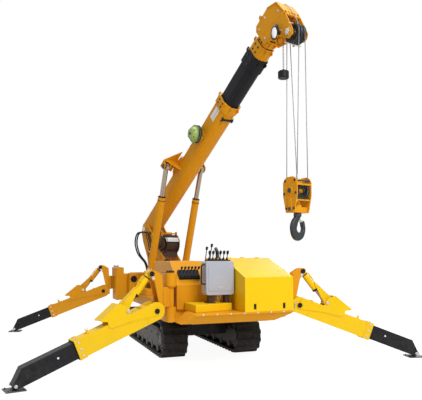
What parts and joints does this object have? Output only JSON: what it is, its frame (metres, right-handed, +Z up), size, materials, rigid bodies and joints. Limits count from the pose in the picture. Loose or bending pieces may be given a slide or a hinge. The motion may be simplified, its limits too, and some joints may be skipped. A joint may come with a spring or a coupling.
{
  "type": "spider crane",
  "caption": "Narrow tracked crane on four swinging, folding legs, with a slewing column, twin luffing rams, a telescopic boom and a hook block.",
  "frame": {"origin": "on the ground, midway between the four foot pads", "axes": "+X to the machine's right seen from the rear, -Y towards the engine end, +Z up"},
  "size_m": [5.8756, 5.3956, 5.1726],
  "materials": {
    "black_paint": "satin",
    "black_plastic": "matt",
    "chrome_rod": "polished",
    "dark_steel": "dull",
    "frame_grey": "satin",
    "green_paint": "gloss",
    "grey_plastic": "matt",
    "track_rubber": "matt",
    "yellow_paint": "gloss"
  },
  "bodies": {
    "chassis": {"chassis": "yellow_paint", "control_box": "grey_plastic", "engine": "black_paint", "engine_cover": "yellow_paint", "front_deck": "yellow_paint", "levers": "black_plastic", "pedestal": "yellow_paint", "side_tank": "yellow_paint", "step_box": "yellow_paint", "track_frame_left": "frame_grey", "track_frame_right": "frame_grey", "track_left": "track_rubber", "track_right": "track_rubber"},
    "bracket_front_left": {"leg_bracket_front_left": "yellow_paint"},
    "outer_front_left": {"leg_outer_front_left": "yellow_paint"},
    "inner_front_left": {"leg_inner_front_left": "black_paint", "foot_pad_front_left": "dark_steel"},
    "barrel_front_left": {"leg_barrel_front_left": "yellow_paint"},
    "rod_front_left": {"leg_rod_front_left": "chrome_rod"},
    "bracket_front_right": {"leg_bracket_front_right": "yellow_paint"},
    "outer_front_right": {"leg_outer_front_right": "yellow_paint"},
    "inner_front_right": {"leg_inner_front_right": "black_paint", "foot_pad_front_right": "dark_steel"},
    "barrel_front_right": {"leg_barrel_front_right": "yellow_paint"},
    "rod_front_right": {"leg_rod_front_right": "chrome_rod"},
    "bracket_rear_left": {"leg_bracket_rear_left": "yellow_paint"},
    "outer_rear_left": {"leg_outer_rear_left": "yellow_paint"},
    "inner_rear_left": {"leg_inner_rear_left": "black_paint", "foot_pad_rear_left": "dark_steel"},
    "barrel_rear_left": {"leg_barrel_rear_left": "yellow_paint"},
    "rod_rear_left": {"leg_rod_rear_left": "chrome_rod"},
    "bracket_rear_right": {"leg_bracket_rear_right": "yellow_paint"},
    "outer_rear_right": {"leg_outer_rear_right": "yellow_paint"},
    "inner_rear_right": {"leg_inner_rear_right": "black_paint", "foot_pad_rear_right": "dark_steel"},
    "barrel_rear_right": {"leg_barrel_rear_right": "yellow_paint"},
    "rod_rear_right": {"leg_rod_rear_right": "chrome_rod"},
    "turret": {"turret": "yellow_paint", "winch": "black_paint"},
    "boom_base": {"boom_base": "yellow_paint", "cable_reel": "green_paint"},
    "boom_second": {"boom_second": "black_paint"},
    "boom_third": {"boom_third": "yellow_paint"},
    "boom_fourth": {"boom_fourth": "yellow_paint"},
    "boom_head": {"boom_head": "yellow_paint", "head_sheaves": "dark_steel"},
    "hoist_line": {"hoist_ropes": "dark_steel"},
    "hook": {"hook_block": "yellow_paint", "hook": "dark_steel"},
    "ram_barrels": {"ram_barrels": "yellow_paint"},
    "ram_rods": {"ram_rods": "chrome_rod"}
  },
  "joints": [
    {"name": "swing_front_left", "type": "hinge", "parent": "chassis", "child": "bracket_front_left", "pos_m": [-0.826, -2.107, 0.9], "axis": [0, 0, 1], "range_deg": [-40, 40]},
    {"name": "lift_front_left", "type": "hinge", "parent": "bracket_front_left", "child": "outer_front_left", "pos_m": [-1.07551, -2.16426, 0.802], "axis": [-0.2237, 0.9747, 0], "range_deg": [0, 30]},
    {"name": "extend_front_left", "type": "slide", "parent": "outer_front_left", "child": "inner_front_left", "axis": [-0.9099, -0.2088, -0.3584], "range_m": [-0.45, 0]},
    {"name": "cylinder_tilt_front_left", "type": "hinge", "parent": "bracket_front_left", "child": "barrel_front_left", "pos_m": [-1.13302, -2.17746, 1.288], "axis": [-0.2237, 0.9747, 0], "range_deg": [-30, 30]},
    {"name": "cylinder_stroke_front_left", "type": "slide", "parent": "barrel_front_left", "child": "rod_front_left", "axis": [-0.5911, -0.1357, -0.7951], "range_m": [-0.22, 0.01]},
    {"name": "swing_front_right", "type": "hinge", "parent": "chassis", "child": "bracket_front_right", "pos_m": [0.826, -2.107, 0.9], "axis": [0, 0, 1], "range_deg": [-40, 40]},
    {"name": "lift_front_right", "type": "hinge", "parent": "bracket_front_right", "child": "outer_front_right", "pos_m": [1.07551, -2.16426, 0.802], "axis": [-0.2237, -0.9747, 0], "range_deg": [0, 30]},
    {"name": "extend_front_right", "type": "slide", "parent": "outer_front_right", "child": "inner_front_right", "axis": [0.9099, -0.2088, -0.3584], "range_m": [-0.45, 0]},
    {"name": "cylinder_tilt_front_right", "type": "hinge", "parent": "bracket_front_right", "child": "barrel_front_right", "pos_m": [1.13302, -2.17746, 1.288], "axis": [-0.2237, -0.9747, 0], "range_deg": [-30, 30]},
    {"name": "cylinder_stroke_front_right", "type": "slide", "parent": "barrel_front_right", "child": "rod_front_right", "axis": [0.5911, -0.1357, -0.7951], "range_m": [-0.22, 0.01]},
    {"name": "swing_rear_left", "type": "hinge", "parent": "chassis", "child": "bracket_rear_left", "pos_m": [-0.826, 2.107, 0.9], "axis": [0, 0, 1], "range_deg": [-40, 40]},
    {"name": "lift_rear_left", "type": "hinge", "parent": "bracket_rear_left", "child": "outer_rear_left", "pos_m": [-1.07551, 2.16426, 0.802], "axis": [0.2237, 0.9747, 0], "range_deg": [0, 30]},
    {"name": "extend_rear_left", "type": "slide", "parent": "outer_rear_left", "child": "inner_rear_left", "axis": [-0.9099, 0.2088, -0.3584], "range_m": [-0.45, 0]},
    {"name": "cylinder_tilt_rear_left", "type": "hinge", "parent": "bracket_rear_left", "child": "barrel_rear_left", "pos_m": [-1.13302, 2.17746, 1.288], "axis": [0.2237, 0.9747, 0], "range_deg": [-30, 30]},
    {"name": "cylinder_stroke_rear_left", "type": "slide", "parent": "barrel_rear_left", "child": "rod_rear_left", "axis": [-0.5911, 0.1357, -0.7951], "range_m": [-0.22, 0.01]},
    {"name": "swing_rear_right", "type": "hinge", "parent": "chassis", "child": "bracket_rear_right", "pos_m": [0.826, 2.107, 0.9], "axis": [0, 0, 1], "range_deg": [-40, 40]},
    {"name": "lift_rear_right", "type": "hinge", "parent": "bracket_rear_right", "child": "outer_rear_right", "pos_m": [1.07551, 2.16426, 0.802], "axis": [0.2237, -0.9747, 0], "range_deg": [0, 30]},
    {"name": "extend_rear_right", "type": "slide", "parent": "outer_rear_right", "child": "inner_rear_right", "axis": [0.9099, 0.2088, -0.3584], "range_m": [-0.45, 0]},
    {"name": "cylinder_tilt_rear_right", "type": "hinge", "parent": "bracket_rear_right", "child": "barrel_rear_right", "pos_m": [1.13302, 2.17746, 1.288], "axis": [0.2237, -0.9747, 0], "range_deg": [-30, 30]},
    {"name": "cylinder_stroke_rear_right", "type": "slide", "parent": "barrel_rear_right", "child": "rod_rear_right", "axis": [0.5911, 0.1357, -0.7951], "range_m": [-0.22, 0.01]},
    {"name": "slew", "type": "hinge", "parent": "chassis", "child": "turret", "pos_m": [0, 1.068, 1.01], "axis": [0, 0, 1], "continuous": true},
    {"name": "luff", "type": "hinge", "parent": "turret", "child": "boom_base", "pos_m": [-0.1583, 1.67572, 2.06], "axis": [-0.9677, -0.2521, 0], "range_deg": [-30, 44]},
    {"name": "ram_tilt", "type": "hinge", "parent": "turret", "child": "ram_barrels", "pos_m": [0.00353, 1.05445, 1.25], "axis": [-0.9677, -0.2521, 0], "range_deg": [-35, 40]},
    {"name": "ram_stroke", "type": "slide", "parent": "ram_barrels", "child": "ram_rods", "axis": [0.0767, -0.2946, 0.9525], "range_m": [-0.6, 0.75]},
    {"name": "telescope_second", "type": "slide", "parent": "boom_base", "child": "boom_second", "axis": [0.2039, -0.7829, 0.5878], "range_m": [-0.52, 1.9]},
    {"name": "telescope_third", "type": "slide", "parent": "boom_second", "child": "boom_third", "axis": [0.2039, -0.7829, 0.5878], "range_m": [0, 2.3]},
    {"name": "telescope_fourth", "type": "slide", "parent": "boom_third", "child": "boom_fourth", "axis": [0.2039, -0.7829, 0.5878], "range_m": [0, 2.3]},
    {"name": "telescope_head", "type": "slide", "parent": "boom_fourth", "child": "boom_head", "axis": [0.2039, -0.7829, 0.5878], "range_m": [0, 2.3]},
    {"name": "rope_swing", "type": "hinge", "parent": "boom_head", "child": "hoist_line", "pos_m": [0.91975, -2.46298, 4.63577], "axis": [-0.9677, -0.2521, 0], "range_deg": [-50, 50]},
    {"name": "hoist", "type": "slide", "parent": "hoist_line", "child": "hook", "axis": [0, 0, -1], "range_m": [-1.6, 1.6], "deforming": ["hoist_ropes"]}
  ],
  "couplings": [
    {"joint": "cylinder_tilt_front_left", "follows": "lift_front_left", "ratio": 0.35538},
    {"joint": "cylinder_stroke_front_left", "follows": "lift_front_left", "m_per_rad": -0.36611},
    {"joint": "cylinder_tilt_front_right", "follows": "lift_front_right", "ratio": 0.35538},
    {"joint": "cylinder_stroke_front_right", "follows": "lift_front_right", "m_per_rad": -0.36611},
    {"joint": "cylinder_tilt_rear_left", "follows": "lift_rear_left", "ratio": 0.35538},
    {"joint": "cylinder_stroke_rear_left", "follows": "lift_rear_left", "m_per_rad": -0.36611},
    {"joint": "cylinder_tilt_rear_right", "follows": "lift_rear_right", "ratio": 0.35538},
    {"joint": "cylinder_stroke_rear_right", "follows": "lift_rear_right", "m_per_rad": -0.36611},
    {"joint": "ram_tilt", "follows": "luff", "ratio": 0.69398},
    {"joint": "ram_stroke", "follows": "luff", "m_per_rad": 0.77235},
    {"joint": "telescope_fourth", "follows": "telescope_third", "ratio": 1},
    {"joint": "telescope_head", "follows": "telescope_third", "ratio": 1},
    {"joint": "rope_swing", "follows": "luff", "ratio": -1}
  ]
}
